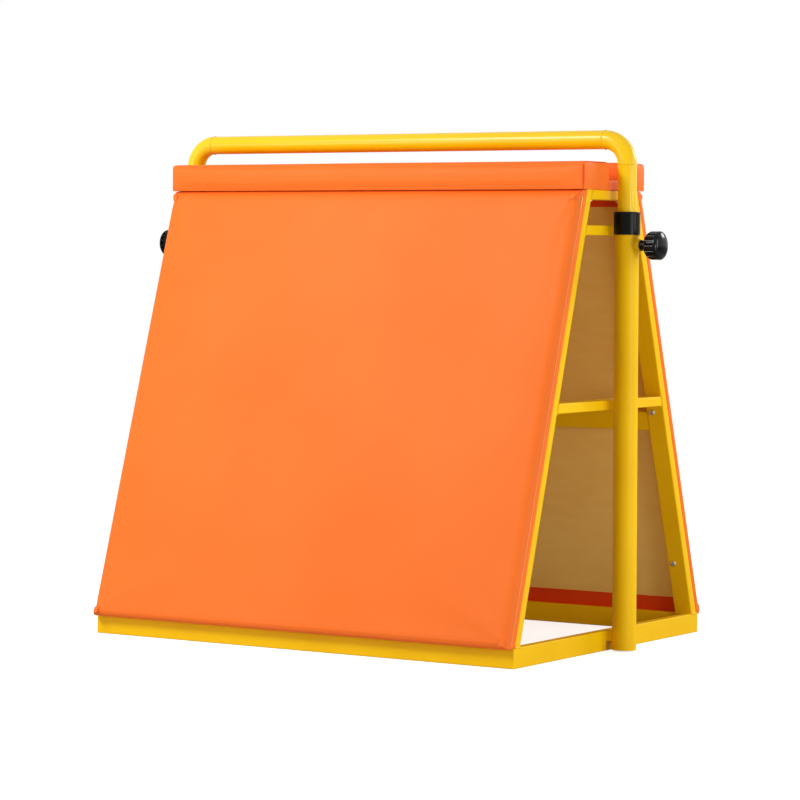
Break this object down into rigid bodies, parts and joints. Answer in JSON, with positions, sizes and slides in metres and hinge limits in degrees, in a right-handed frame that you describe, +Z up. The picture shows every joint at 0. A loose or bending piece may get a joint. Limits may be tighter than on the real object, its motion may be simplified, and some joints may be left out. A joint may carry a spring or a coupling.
{
  "type": "gymnastics incline frame",
  "caption": "Free-standing A-frame incline for a children's gym: padded sloping boards on a welded tube frame, a padded ridge and a clamped sliding bar.",
  "frame": {"origin": "on the floor, under the middle of the base", "axes": "+X along the ridge to the right, +Y to the rear slope, +Z up"},
  "size_m": [1.233, 0.7946, 1.037],
  "materials": {
    "frame_paint": "satin",
    "bar_paint": "gloss",
    "vinyl": "satin",
    "foam": "matte",
    "plywood": "matte",
    "zinc_steel": "satin",
    "black_plastic": "satin",
    "knob_plastic": "gloss"
  },
  "bodies": {
    "frame": {"base_front_rail": "frame_paint", "base_rear_rail": "frame_paint", "base_left_rail": "frame_paint", "base_right_rail": "frame_paint", "front_left_leg": "frame_paint", "front_right_leg": "frame_paint", "rear_left_leg": "frame_paint", "rear_right_leg": "frame_paint", "left_mid_rung": "frame_paint", "left_upper_rung": "frame_paint", "left_top_rung": "frame_paint", "right_mid_rung": "frame_paint", "right_upper_rung": "frame_paint", "right_top_rung": "frame_paint", "front_cross_member": "frame_paint", "rear_cross_member": "frame_paint", "left_post": "frame_paint", "right_post": "frame_paint", "left_post_spacers": "frame_paint", "right_post_spacers": "frame_paint", "left_weld_nut": "frame_paint", "right_weld_nut": "frame_paint", "front_plywood": "plywood", "rear_plywood": "plywood", "ridge_plywood": "plywood", "front_foam": "foam", "rear_foam": "foam", "ridge_front_foam": "foam", "ridge_rear_foam": "foam", "front_cover": "vinyl", "rear_cover": "vinyl", "ridge_cover": "vinyl", "front_board_screws": "zinc_steel", "rear_board_screws": "zinc_steel", "ridge_screws": "zinc_steel", "left_collar": "black_plastic", "right_collar": "black_plastic"},
    "bar": {"bar_top_tube": "bar_paint", "bar_left_bend": "bar_paint", "bar_right_bend": "bar_paint", "bar_left_leg": "bar_paint", "bar_right_leg": "bar_paint", "bar_left_glide_plug": "black_plastic", "bar_right_glide_plug": "black_plastic"},
    "left_foot": {"left_clamp_foot": "black_plastic"},
    "left_clamp": {"left_knob": "knob_plastic", "left_clamp_stud": "zinc_steel"},
    "right_foot": {"right_clamp_foot": "black_plastic"},
    "right_clamp": {"right_knob": "knob_plastic", "right_clamp_stud": "zinc_steel"}
  },
  "joints": [
    {"name": "bar_height", "type": "slide", "parent": "frame", "child": "bar", "axis": [0, 0, 1], "range_m": [-0.05, 0.3]},
    {"name": "left_clamp_travel", "type": "slide", "parent": "frame", "child": "left_foot", "axis": [-1, 0, 0], "range_m": [0, 0.003]},
    {"name": "left_knob_turn", "type": "hinge", "parent": "left_foot", "child": "left_clamp", "pos_m": [-0.56, 0, 0.807], "axis": [-1, 0, 0], "range_deg": [0, 720]},
    {"name": "right_clamp_travel", "type": "slide", "parent": "frame", "child": "right_foot", "axis": [1, 0, 0], "range_m": [0, 0.003]},
    {"name": "right_knob_turn", "type": "hinge", "parent": "right_foot", "child": "right_clamp", "pos_m": [0.56, 0, 0.807], "axis": [1, 0, 0], "range_deg": [0, 720]}
  ],
  "couplings": [
    {"joint": "left_clamp_travel", "follows": "left_knob_turn", "m_per_rad": 0.00023873},
    {"joint": "right_clamp_travel", "follows": "right_knob_turn", "m_per_rad": 0.00023873}
  ]
}
